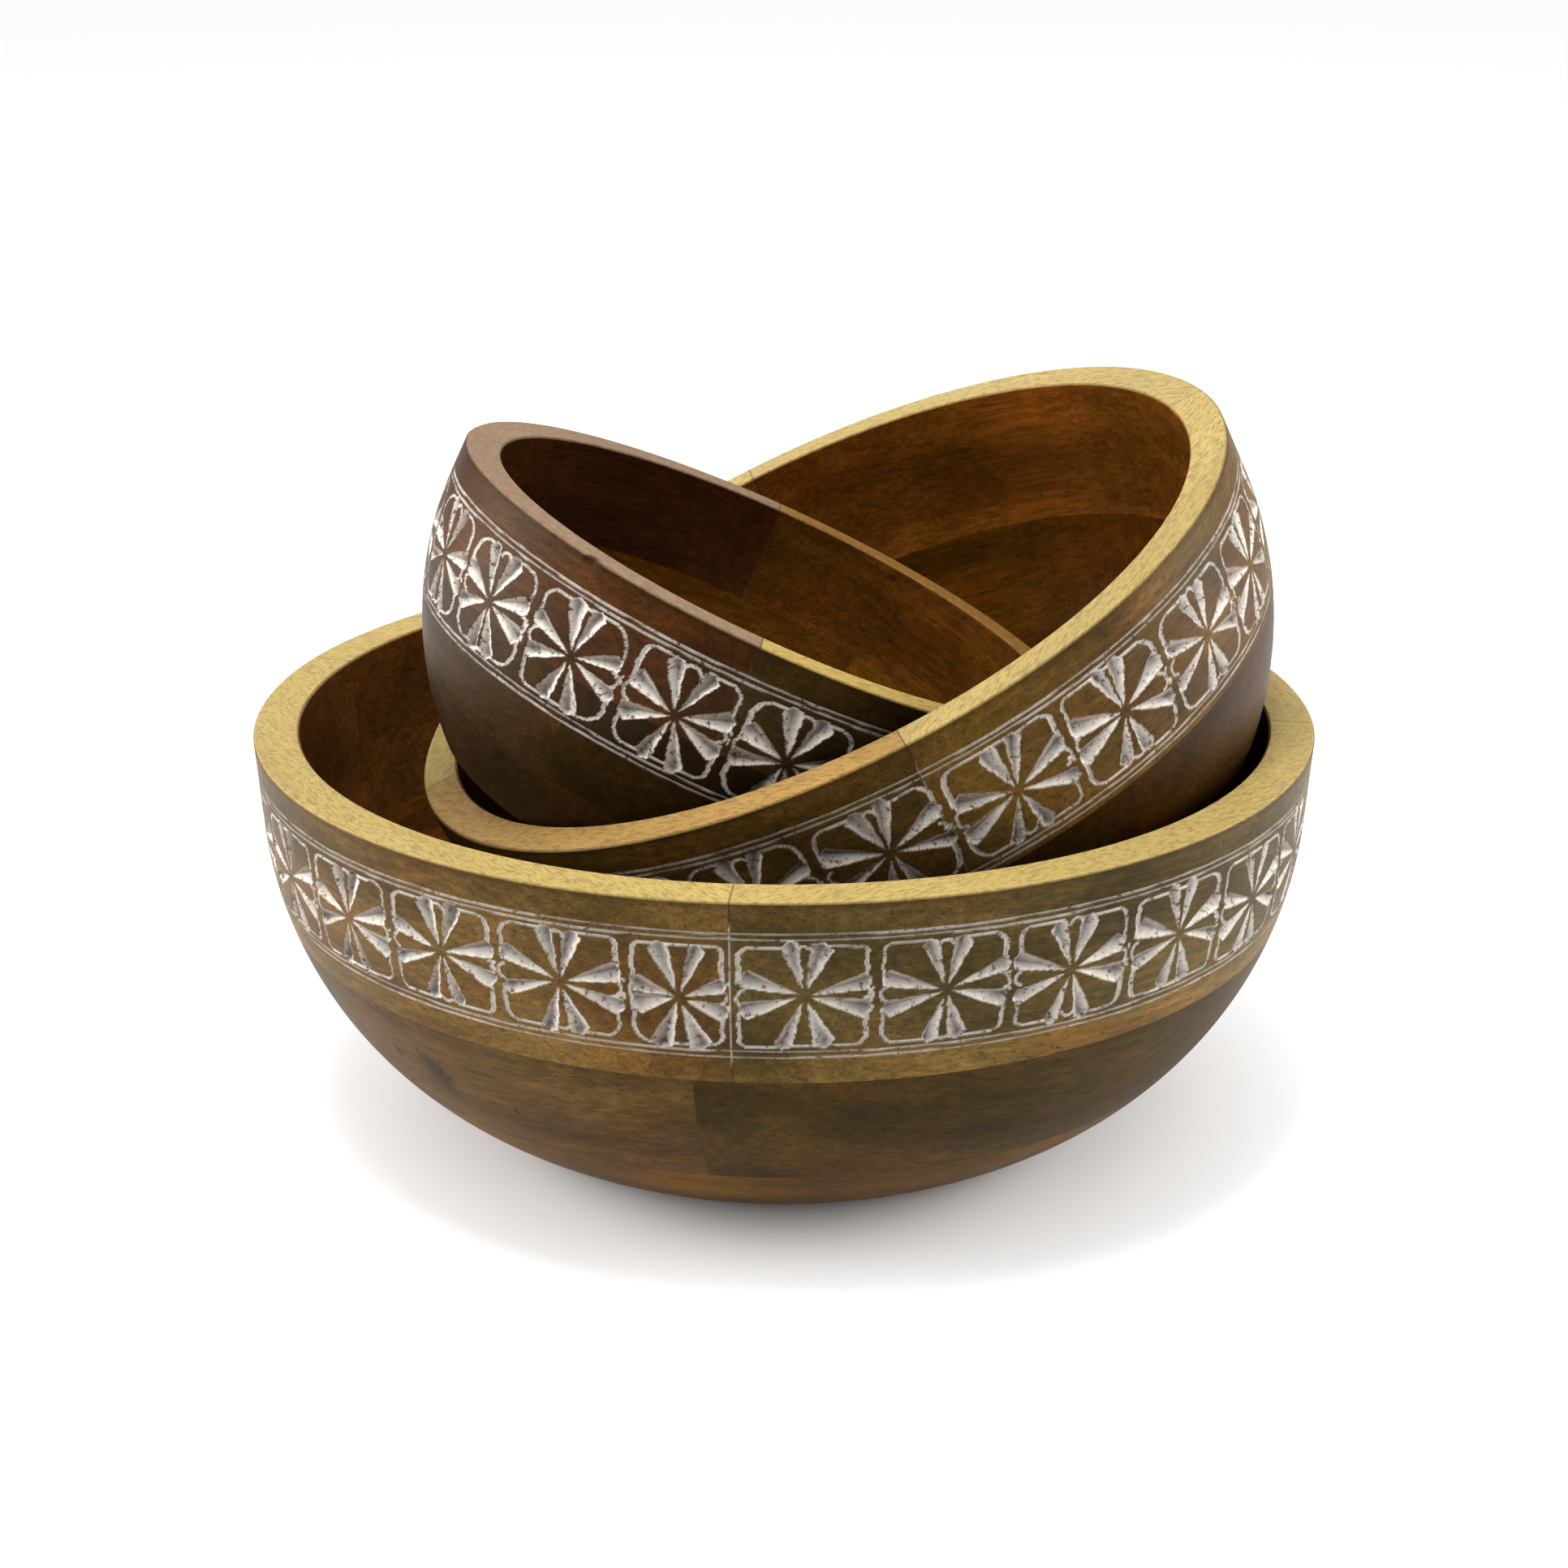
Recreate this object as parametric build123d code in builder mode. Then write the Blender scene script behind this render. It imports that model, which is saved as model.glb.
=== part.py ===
from build123d import *
import math
import os
import random

# A nest of three turned and carved wooden bowls.  Every bowl is glued up from
# an upper ring of four curved segments, a lower ring of four curved segments
# and a base board.  The medium bowl leans in the large one and the small bowl
# leans in the medium one.  Millimetres, +Z up, origin under the large bowl.

os.makedirs("parts", exist_ok=True)

# ---- sizes shared by the three bowls ------------------------------------
EDGE = 0.6                 # softened edge on the rim and the foot
BAND_LINES = (8.3, 9.8, 40.5, 42.2)   # depth of the incised lines below the rim
LINE_WIDTH = 1.0           # incised line, width at the surface
LINE_DEPTH = 0.6           # incised line, depth
CELL_MIDDLE = 25.2         # depth of the middle of the carved cells
CELL_HALF_HEIGHT = 14.0    # carved cell, half of its height
BAR_WIDTH = 4.0            # distance between the side grooves of two cells
SIDE_WIDTH = 1.5           # upright groove at each side of a cell, width
END_WIDTH = 0.9            # level groove above and below a cell, width
OUTLINE_DEPTH = 0.5        # grooves around each cell, depth
GOUGE_SPREAD = 17.5        # angle of a gouge either side of a cell axis
GOUGE_HALF_WIDTH = 2.7     # half width of a gouge at its outer end
GOUGE_DEPTH = 2.0          # depth of a gouge at its outer end
GOUGE_START = 1.2          # distance from the cell middle to the gouge tip
GOUGE_TURN = 2.5           # unevenness of the angle of a gouge, degrees
GOUGE_REACH = 0.04         # unevenness of the length of a gouge, as a share
GOUGE_MARGIN = 0.8         # wood left between a gouge and the edge of its cell
TIP_LIFT = 0.15            # height of the gouge cutter's tip over the wood
CUTTER_RISE = 1.0          # how far a cutter stands out of the wood

# ---- one set of sizes for every bowl ------------------------------------
# radius: rim; belly: widest radius, reached at depth belly_depth; shoulder:
# depth where the upper wall meets the round lower wall of radius turn.
LARGE = dict(
    name="large", radius=150.0, belly=148.7, belly_depth=17.2, shoulder=22.4,
    turn=106.2, height=115.0, wall=12.6, floor=19.0,
    upper=50.0, lower=37.0,
    upper_joints=(-5.0, 84.0, 170.0, 252.0),
    lower_joints=(-9.0, 85.0, 176.0, 300.0),
    cells=26, first_bar=-5.0, closing_cell=10.0,
    middle=(0.0, 0.0, 115.0), lean=0.0, lean_to=0.0,
)
MEDIUM = dict(
    name="medium", radius=124.5, belly=124.7, belly_depth=18.0, shoulder=18.0,
    turn=104.0, height=104.0, wall=10.8, floor=13.0,
    upper=44.0, lower=36.0,
    upper_joints=(11.0, 101.0, 190.0, 282.0),
    lower_joints=(34.0, 122.0, 213.0, 304.0),
    cells=22, first_bar=11.9, closing_cell=0.0,
    middle=(8.0, 5.4, 148.0), lean=25.7, lean_to=194.6,
)
SMALL = dict(
    name="small", radius=94.3, belly=94.5, belly_depth=12.0, shoulder=12.0,
    turn=99.0, height=80.0, wall=10.4, floor=13.0,
    upper=30.0, lower=30.0,
    upper_joints=(-3.0, 88.0, 180.0, 268.0),
    lower_joints=(-28.0, 62.0, 152.0, 242.0),
    cells=19, first_bar=-1.2, closing_cell=0.0,
    middle=(-1.2, -5.7, 156.5), lean=24.5, lean_to=5.6,
)


def bowl_axis(bowl):
    """Unit vector up the axis of a leaning bowl."""
    lean = math.radians(bowl["lean"])
    to = math.radians(bowl["lean_to"])
    return Vector(math.sin(lean) * math.cos(to), math.sin(lean) * math.sin(to), math.cos(lean))


def foot_middle(bowl):
    """Centre of the underside of the foot."""
    return Vector(*bowl["middle"]) - bowl_axis(bowl) * bowl["height"]


def radial(bowl, angle):
    """Unit vector away from the axis; 0 degrees is the front (-Y), 90 is +X."""
    axis = bowl_axis(bowl)
    right = (Vector(1, 0, 0) - axis * axis.X).normalized()
    front = right.cross(axis)
    turn = math.radians(angle)
    return right * math.sin(turn) + front * math.cos(turn)


def outer_radius(bowl, depth):
    """Radius of the outside wall at a depth below the rim."""
    middle = bowl["belly"] - bowl["turn"]
    low = max(depth, bowl["shoulder"]) - bowl["belly_depth"]
    round_part = middle + math.sqrt(bowl["turn"] ** 2 - low ** 2)
    if depth >= bowl["shoulder"]:
        return round_part
    return bowl["radius"] + (round_part - bowl["radius"]) * depth / bowl["shoulder"]


def inner_radius(bowl, depth):
    """Radius of the inside wall at a depth below the rim."""
    middle = bowl["belly"] - bowl["turn"]
    turn = bowl["turn"] - bowl["wall"]
    low = max(depth, bowl["shoulder"]) - bowl["belly_depth"]
    round_part = middle + math.sqrt(turn ** 2 - low ** 2)
    if depth >= bowl["shoulder"]:
        return round_part
    lip = bowl["radius"] - bowl["wall"]
    return lip + (round_part - lip) * depth / bowl["shoulder"]


def wall_run(bowl, radius_at, start, end, offset=0.0):
    """Edges of a wall between two depths, as a line above and an arc below."""
    def at(depth):
        return (radius_at(bowl, depth) + offset, bowl["height"] - depth)

    shoulder = bowl["shoulder"]
    if min(start, end) < shoulder < max(start, end):
        first = wall_run(bowl, radius_at, start, shoulder, offset)
        return first + wall_run(bowl, radius_at, shoulder, end, offset)
    if max(start, end) <= shoulder:
        return [Line(at(start), at(end))]
    return [ThreePointArc(at(start), at((start + end) / 2), at(end))]


def outside_edges(bowl, top, bottom):
    """Outside wall of a ring from top to bottom, with its incised lines."""
    edges = []
    depth = top
    for line in BAND_LINES:
        if not top < line < bottom:
            continue
        half = LINE_WIDTH / 2
        edges += wall_run(bowl, outer_radius, depth, line - half)
        root = (outer_radius(bowl, line) - LINE_DEPTH, bowl["height"] - line)
        above = (outer_radius(bowl, line - half), bowl["height"] - line + half)
        below = (outer_radius(bowl, line + half), bowl["height"] - line - half)
        edges += [Line(above, root), Line(root, below)]
        depth = line + half
    return edges + wall_run(bowl, outer_radius, depth, bottom)


def half_plane(bowl, angle):
    """Plane through the axis: x runs out along the radius, y up the axis."""
    out = radial(bowl, angle)
    return Plane(origin=foot_middle(bowl), x_dir=out, z_dir=out.cross(bowl_axis(bowl)))


def ring_outline(bowl, top, bottom):
    """Closed outline of a ring segment; the rim edges are softened."""
    height = bowl["height"]
    start = EDGE if top == 0 else top
    edges = outside_edges(bowl, start, bottom)
    edges.append(Line(edges[-1] @ 1, (inner_radius(bowl, bottom), height - bottom)))
    edges += wall_run(bowl, inner_radius, bottom, start)
    if top == 0:
        inner_edge = (inner_radius(bowl, 0) + EDGE, height)
        outer_edge = (outer_radius(bowl, 0) - EDGE, height)
        edges.append(Line(edges[-1] @ 1, inner_edge))
        edges.append(Line(inner_edge, outer_edge))
        edges.append(Line(outer_edge, edges[0] @ 0))
    else:
        edges.append(Line(edges[-1] @ 1, edges[0] @ 0))
    return edges


def base_outline(bowl, top):
    """Closed half outline of the base board with its turned-out floor."""
    height = bowl["height"]
    floor = height - bowl["floor"]
    edges = wall_run(bowl, outer_radius, top, height - EDGE)
    foot = (outer_radius(bowl, height) - EDGE, 0)
    edges.append(Line(edges[-1] @ 1, foot))
    edges.append(Line(foot, (0, 0)))
    edges.append(Line((0, 0), (0, bowl["floor"])))
    edges.append(Line((0, bowl["floor"]), (inner_radius(bowl, floor), bowl["floor"])))
    edges += wall_run(bowl, inner_radius, floor, top)
    edges.append(Line(edges[-1] @ 1, edges[0] @ 0))
    return edges


def on_wall(bowl, angle, depth, offset):
    """Point at an offset from the outside wall."""
    out = outer_radius(bowl, depth) + offset
    return foot_middle(bowl) + bowl_axis(bowl) * (bowl["height"] - depth) + radial(bowl, angle) * out


def wedge(tip, left, right, root):
    """Four-sided cutter: a gouge that widens and deepens away from its tip."""
    corners = [(tip, left, right), (tip, right, root), (tip, root, left), (left, root, right)]
    faces = [Face(Wire.make_polygon(three, close=True)) for three in corners]
    return Solid(Shell(faces))


def wobble(*keys):
    """Small repeatable unevenness of hand work, between -1 and 1."""
    return random.Random(str(keys)).uniform(-1, 1)


def gouge(bowl, middle, number, half_width, turn_to):
    """One tapered gouge running out from the middle of a cell."""
    theta = math.radians(turn_to + GOUGE_TURN * wobble(bowl["name"], number, turn_to, "turn"))
    side, rise = math.sin(theta), math.cos(theta)
    across = (half_width - GOUGE_MARGIN) / abs(side)
    upright = (CELL_HALF_HEIGHT - GOUGE_MARGIN) / abs(rise)
    shortened = GOUGE_REACH * (1 - wobble(bowl["name"], number, turn_to, "reach"))
    reach = min(across, upright) * (1 - shortened)
    per_degree = math.radians(1) * outer_radius(bowl, CELL_MIDDLE)

    def place(along, across, offset):
        angle = middle + (along * side + across * rise) / per_degree
        depth = CELL_MIDDLE - (along * rise - across * side)
        return on_wall(bowl, angle, depth, offset)

    wide = GOUGE_HALF_WIDTH * (GOUGE_DEPTH + CUTTER_RISE) / GOUGE_DEPTH
    return wedge(
        place(GOUGE_START, 0, TIP_LIFT),
        place(reach, -wide, CUTTER_RISE),
        place(reach, wide, CUTTER_RISE),
        place(reach, 0, -GOUGE_DEPTH),
    )


def cells_of(bowl):
    """Middle angle and width in degrees of each carved cell."""
    pitch = (360.0 - bowl["closing_cell"]) / bowl["cells"]
    cells = [(bowl["first_bar"] + pitch * (n + 0.5), pitch) for n in range(bowl["cells"])]
    if bowl["closing_cell"]:
        cells.append((bowl["first_bar"] - bowl["closing_cell"] / 2, bowl["closing_cell"]))
    return cells


def carving(bowl, start, end):
    """Cutters that fall on a segment from start to end."""
    cutters = []
    per_degree = math.radians(1) * outer_radius(bowl, CELL_MIDDLE)
    for number, (middle, width) in enumerate(cells_of(bowl)):
        middle = start + (middle - start) % 360.0
        for around in (0.0, -360.0):
            here = middle + around
            if here + width / 2 < start or here - width / 2 > end:
                continue
            half = (width * per_degree - BAR_WIDTH) / 2
            for quarter in (0, 90, 180, 270):
                for side in (-1, 1):
                    turn_to = quarter + side * GOUGE_SPREAD
                    cutters.append(gouge(bowl, here, number, half, turn_to))
            cutters += cell_outline(bowl, here, half / per_degree, SIDE_WIDTH / 2 / per_degree)
    return cutters


def cell_outline(bowl, middle, half_angle, half_line):
    """Two upright and two level grooves that frame a cell."""
    top = CELL_MIDDLE - CELL_HALF_HEIGHT
    bottom = CELL_MIDDLE + CELL_HALF_HEIGHT
    sides = [groove(bowl, top, bottom, middle + side * half_angle, half_line) for side in (-1, 1)]
    across = half_angle - 2 * half_line
    upper = groove(bowl, top, top + END_WIDTH, middle, across)
    lower = groove(bowl, bottom - END_WIDTH, bottom, middle, across)
    return sides + [upper, lower]


def groove(bowl, top, bottom, middle, half_angle):
    """Shallow cutter that follows the wall between two depths and angles."""
    outer = wall_run(bowl, outer_radius, top, bottom, CUTTER_RISE)
    inner = wall_run(bowl, outer_radius, bottom, top, -OUTLINE_DEPTH)
    edges = outer + [Line(outer[-1] @ 1, inner[0] @ 0)] + inner + [Line(inner[-1] @ 1, outer[0] @ 0)]
    with BuildPart(mode=Mode.PRIVATE) as cutter:
        with BuildSketch(half_plane(bowl, middle - half_angle)):
            with BuildLine():
                for edge in edges:
                    add(edge)
            make_face()
        revolve(axis=Axis(foot_middle(bowl), bowl_axis(bowl)), revolution_arc=2 * half_angle)
    return cutter.part


for bowl in (LARGE, MEDIUM, SMALL):
    spin = Axis(foot_middle(bowl), bowl_axis(bowl))
    rings = (
        ("rim", 0.0, bowl["upper"], bowl["upper_joints"]),
        ("wall", bowl["upper"], bowl["upper"] + bowl["lower"], bowl["lower_joints"]),
    )
    for ring, top, bottom, joints in rings:
        for place, start in enumerate(joints):
            end = (joints + (joints[0] + 360.0,))[place + 1]
            carved = top < CELL_MIDDLE + CELL_HALF_HEIGHT
            cutters = carving(bowl, start, end) if carved else []
            with BuildPart() as segment:
                with BuildSketch(half_plane(bowl, start)):
                    with BuildLine():
                        for edge in ring_outline(bowl, top, bottom):
                            add(edge)
                    make_face()
                revolve(axis=spin, revolution_arc=end - start)
                if cutters:
                    add(cutters, mode=Mode.SUBTRACT)
            name = f"{bowl['name']}_{ring}_segment_{place + 1}"
            segment.part.label = name
            export_step(segment.part, "parts/" + name + ".step")
    with BuildPart() as base_board:
        with BuildSketch(half_plane(bowl, 0.0)):
            with BuildLine():
                for edge in base_outline(bowl, bowl["upper"] + bowl["lower"]):
                    add(edge)
            make_face()
        revolve(axis=spin, revolution_arc=360)
    base_board.part.label = bowl["name"] + "_base_board"
    export_step(base_board.part, "parts/" + base_board.part.label + ".step")
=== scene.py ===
import math

import bpy
import numpy as np
from mathutils import Matrix, Vector


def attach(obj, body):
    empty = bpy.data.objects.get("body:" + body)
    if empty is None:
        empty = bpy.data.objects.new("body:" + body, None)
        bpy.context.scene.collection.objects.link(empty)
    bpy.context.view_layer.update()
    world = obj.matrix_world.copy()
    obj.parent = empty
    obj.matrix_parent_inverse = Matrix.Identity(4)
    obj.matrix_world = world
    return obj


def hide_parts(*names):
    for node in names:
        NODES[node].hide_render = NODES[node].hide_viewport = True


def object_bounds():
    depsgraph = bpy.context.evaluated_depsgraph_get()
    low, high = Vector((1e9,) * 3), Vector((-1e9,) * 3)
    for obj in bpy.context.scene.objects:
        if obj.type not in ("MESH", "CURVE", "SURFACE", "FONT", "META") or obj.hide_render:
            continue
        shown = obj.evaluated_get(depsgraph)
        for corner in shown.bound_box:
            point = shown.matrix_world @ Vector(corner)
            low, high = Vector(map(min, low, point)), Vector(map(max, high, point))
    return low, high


# A nest of three turned wooden bowls.  The segments that carry the carved
# band are rebuilt here as fine meshes with uneven, hand-cut gouges and
# outlines.  The plain segments and the base boards stay as packed and get
# wood materials.  Bowl sizes are in millimetres, as in the CAD part, and
# meshes are in metres.  Angles are in degrees round a bowl's axis, from the
# front towards its right, and depths are measured down from its rim.

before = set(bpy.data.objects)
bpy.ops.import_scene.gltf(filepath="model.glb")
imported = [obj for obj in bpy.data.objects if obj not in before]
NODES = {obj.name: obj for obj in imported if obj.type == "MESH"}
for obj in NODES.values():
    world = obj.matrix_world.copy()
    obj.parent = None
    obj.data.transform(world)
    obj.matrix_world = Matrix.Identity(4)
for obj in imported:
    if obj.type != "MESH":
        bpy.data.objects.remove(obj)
CAD_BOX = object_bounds()
MM = 0.001

# ---- the bowls --------------------------------------------------------------
# radius: of the rim.  shoulder: depth where the straight wall under the rim
# ends and the round one starts.  turn: radius of the round wall's arc.
# belly, belly_depth: where that arc reaches furthest out.  upper, lower:
# heights of the two rings.  first_bar: angle where the cells start.
# closing_cell: angle left over for a last, narrow cell.  rounding: of the
# cells' corners.  chip: angle of the splinter missing from the rim.
BOWLS = {
    "large": dict(
        radius=150.0, belly=148.7, belly_depth=17.2, shoulder=22.4, turn=106.2,
        height=115.0, wall=12.6, upper=50.0, lower=37.0,
        upper_joints=(-5.0, 84.0, 170.0, 252.0),
        lower_joints=(-9.0, 85.0, 176.0, 300.0),
        cells=26, first_bar=-5.0, closing_cell=10.0, rounding=2.8, seed=1,
    ),
    "medium": dict(
        radius=124.5, belly=124.7, belly_depth=18.0, shoulder=18.0, turn=104.0,
        height=104.0, wall=10.8, upper=44.0, lower=36.0,
        upper_joints=(11.0, 101.0, 190.0, 282.0),
        lower_joints=(34.0, 122.0, 213.0, 304.0),
        cells=22, first_bar=11.9, closing_cell=0.0, rounding=3.8, seed=2,
    ),
    "small": dict(
        radius=94.3, belly=94.5, belly_depth=12.0, shoulder=12.0, turn=99.0,
        height=80.0, wall=10.4, upper=30.0, lower=30.0,
        upper_joints=(-3.0, 88.0, 180.0, 268.0),
        lower_joints=(-28.0, 62.0, 152.0, 242.0),
        cells=19, first_bar=-1.2, closing_cell=0.0, rounding=4.6, seed=3,
        chip=327.0,
    ),
}

# ---- sizes of the carving -----------------------------------------------------
EDGE = 0.6                # softened edge of the rim
BAND_LINES = (8.3, 9.8, 40.5, 42.2)    # depths of the incised lines
LINE_HALF = 0.38          # half the width of a line
LINE_DEPTH = 0.6
LINE_STEADY, LINE_CHATTER = 0.8, 0.2    # shares of its depth
LINE_WANDER = 0.2         # how far a line strays up and down
CELL_MIDDLE = 25.2        # depth of the middle of the cells
CELL_HALF_HEIGHT = 14.0
BAND_INSET = 1.0          # from the belly's radius to that of the cells
CELL_WANDER = 0.25        # how far the cuts in a cell stray
BAR_WIDTH = 4.0           # between the outlines of two cells
SIDE_HALF = 0.66          # half the width of an outline at the sides
END_HALF = 0.42           # the same above and below
CORNER_BLEND = 0.6        # how softly one width turns into the other
OUTLINE_DEPTH = 0.7
SIDE_OVERLAP = 1.2        # how far the side outlines run in past the gouges
END_OVERLAP = 0.8         # the same above and below
GOUGE_SPREAD = 17.5       # degrees from an axis of a cell to its two gouges
GOUGE_HALF_WIDTH = 2.7
GOUGE_DEPTH = 2.0
GOUGE_START = 1.2         # from the middle of a cell
GOUGE_TAIL = 1.5          # length of the run-out at the broad end
GOUGE_REACH = 0.97        # share of the way to the outline
ROOT_HALF = 0.3           # half the width of the turn between its flanks
WIDTH_POWER = 0.85        # how a gouge grows broader along its length
DEPTH_POWER = 0.9         # and how it grows deeper
CAP_BEND = 2.3            # radius of a petal's arched end
CAP_OVERHANG = 0.9        # of that end past the outline at the sides
CAP_HALF = 0.5            # half the width of its cut
CAP_SIDE = 0.4            # how far that cut may reach past the bend
CAP_DEPTH = 0.6
END_CAPS_KEPT = -0.4      # a cap above or below is arched if its draw is more
SIDE_CAPS_KEPT = -0.75    # the same for a cap at the side
NICKS = 3                 # small crossed nicks between two cells
NICK_PLACE = 1.6          # from the outline to the nicks
NICK_HALF = 0.5
NICK_REACH = 1.7
NICK_DEPTH = 0.7
CHIP_DEPTH = 1.4          # splinter missing from the rim of the small bowl
CHIP_HALF = 2.6           # half of that splinter's length
CHIP_RAGGED = 0.3         # how uneven its ends are, as a share
CHIP_DARK = 0.8           # how dark its broken wood is
SLIVER = 0.001            # keeps widths above zero
LEAST_SLOPE = 0.01        # keeps divisors above zero
PAINTED_LIGHT_LEFT, PAINTED_LIGHT_UP = 0.5, 0.87    # where the painted light on the cuts' sides comes from: shares of left and up

# Size and last key of each uneven draw: shares, millimetres, or for the
# turn of a gouge degrees and for the tilt of a nick radians.
DRAWS = {
    "gouge_reach": (0.03, 21),
    "gouge_start": (0.4, 22),
    "gouge_width": (0.2, 23),
    "gouge_skew": (0.35, 24),
    "corner": (0.4, 31),
    "side_width": (0.35, 32),
    "cap_bend": (0.5, 41),
    "cap_kept": (1.0, 42),
    "cap_top": (0.5, 43),
    "nick_x": (0.9, 51),
    "nick_y": (3.2, 52),
    "nick_tilt": (1.3, 53),
    "centre_x": (0.7, 61),
    "centre_y": (0.7, 62),
    "gouge_turn": (3.5, 63),
}

# ---- fine mesh, wash and wear ---------------------------------------------------
GRID = 0.38               # spacing of the fine mesh over the carved band
COARSE = 3.0              # spacing of the rows elsewhere
FINE_RIM = 2.0            # depth of the closer rows under the rim
BAND_MARGIN = 1.2         # how far the fine rows reach past the band's lines
BAND_FILM = 0.007         # wash left on the plain wood between the cuts
LINE_WASH = 0.7           # wash left in the double lines
CRACK_WASH = {"large": 0.7, "medium": 0.4, "small": 0.12}    # and in the joints
# Where soft changes start and end: depths of a cut, then depths on the wall.
WASHED_CUT = (0.03, 0.2)
WASHED_LINE = (0.03, 0.3)
FILM_TOP, FILM_FOOT = (7.5, 9.0), (43.0, 41.5)
CRACK_TOP, CRACK_FOOT = (5.0, 7.5), (46.0, 42.0)
GOLDEN_TOP = (40.5, 42.5)
LIP_FOOT = (2.4, 0.7)
CHIP_FOOT = (2.2, 0.6)


# ---- where each bowl stands, read from its packed base board ------------------
LEAST_AREA = 1e-12        # square metres of a triangle that counts
CANDIDATES = 40           # largest triangles that are tried as the foot
SAME_WAY = 0.9999         # least cosine between two triangles of the foot
SAME_LEVEL = 2e-5         # metres between their levels


def bowl_place(name):
    """Foot middle (metres), unit right, front and axis vectors of a bowl."""
    mesh = NODES[name + "_base_board"].data
    points = np.empty(len(mesh.vertices) * 3)
    mesh.vertices.foreach_get("co", points)
    points = points.reshape(-1, 3)
    mesh.calc_loop_triangles()
    corners = np.empty(len(mesh.loop_triangles) * 3, dtype=np.int64)
    mesh.loop_triangles.foreach_get("vertices", corners)
    a, b, c = (points[corners.reshape(-1, 3)[:, k]] for k in range(3))
    cross = np.cross(b - a, c - a)
    area = np.linalg.norm(cross, axis=1)
    keep = area > LEAST_AREA
    normal = cross[keep] / area[keep, None]
    middle = (a + b + c)[keep] / 3
    area = area[keep]
    best = None
    for candidate in normal[np.argsort(-area)[:CANDIDATES]]:
        level = (points @ candidate).max()
        flat = (normal @ candidate > SAME_WAY) & (level - middle @ candidate < SAME_LEVEL)
        if best is None or area[flat].sum() > best[0]:
            centre = (middle[flat] * area[flat, None]).sum(0) / area[flat].sum()
            best = (area[flat].sum(), -candidate, centre)
    _, axis, foot = best
    right = np.array([1.0, 0.0, 0.0]) - axis * axis[0]
    right /= np.linalg.norm(right)
    return foot, right, np.cross(right, axis), axis


PLACES = {name: bowl_place(name) for name in BOWLS}


# ---- wall shape and unevenness --------------------------------------------------
def wall_radius(bowl, depth, inset):
    """Radius of the wall at depths below the rim, inset from the outside."""
    middle = bowl["belly"] - bowl["turn"]
    turn = bowl["turn"] - inset
    low = np.maximum(depth, bowl["shoulder"]) - bowl["belly_depth"]
    round_part = middle + np.sqrt(turn ** 2 - low ** 2)
    lip = bowl["radius"] - inset
    straight = lip + (round_part - lip) * np.asarray(depth) / bowl["shoulder"]
    return np.where(np.asarray(depth) >= bowl["shoulder"], round_part, straight)


def uneven(*keys):
    """Repeatable random value between -1 and 1 for arrays of keys."""
    first_weight, weight_step, stir = 12.9898, 7.7, 43758.5453
    total = sum(
        np.asarray(key, float) * (first_weight + weight_step * place)
        for place, key in enumerate(keys)
    )
    mix = np.sin(total) * stir
    return 2 * (mix - np.floor(mix)) - 1


def draw(label, *keys):
    """Unevenness of hand work: one of the named draws, for arrays of keys."""
    size, last_key = DRAWS[label]
    return size * uneven(*keys, last_key)


def waver(angle, seed):
    """Slow wandering of a hand-cut line around the bowl, about -1 to 1."""
    turn = np.radians(angle)
    waves = ((7, 0.5), (17, 0.35), (41, 0.25), (89, 0.15))
    phase = seed * 1.7
    return sum(size * np.sin(count * turn + phase * count) for count, size in waves)


def ramp(start, end, value):
    """Smooth step from 0 at start to 1 at end, whichever of them is larger."""
    step = np.clip((value - start) / (end - start), 0, 1)
    return step * step * (3 - 2 * step)


# ---- the carved band --------------------------------------------------------------
def cell_of(bowl, angle):
    """Number of the cell at each angle, the angle from its middle, its width."""
    closing = bowl["closing_cell"]
    pitch = (360.0 - closing) / bowl["cells"]
    turn = (angle - bowl["first_bar"]) % 360.0
    number = np.minimum(np.floor(turn / pitch), bowl["cells"])
    plain = number < bowl["cells"]
    width = np.where(plain, pitch, max(closing, SLIVER))
    middle = np.where(plain, (number + 0.5) * pitch, 360.0 - closing / 2)
    return number, turn - middle, width


def groove(away, half_width):
    """Profile of a V cut: 1 at its root, 0 at its edges and outside it."""
    return np.clip(1 - np.abs(away) / half_width, 0, 1)


def double_lines(bowl, angle, depth):
    """Incised lines above and below the band."""
    seed = bowl["seed"]
    cut = np.zeros_like(angle)
    for place, line in enumerate(BAND_LINES):
        chatter = LINE_STEADY + LINE_CHATTER * waver(angle * 5, seed + place + 9)
        away = depth - line - LINE_WANDER * waver(angle, seed + place)
        cut = np.maximum(cut, LINE_DEPTH * chatter * groove(away, LINE_HALF))
    return cut


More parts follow.
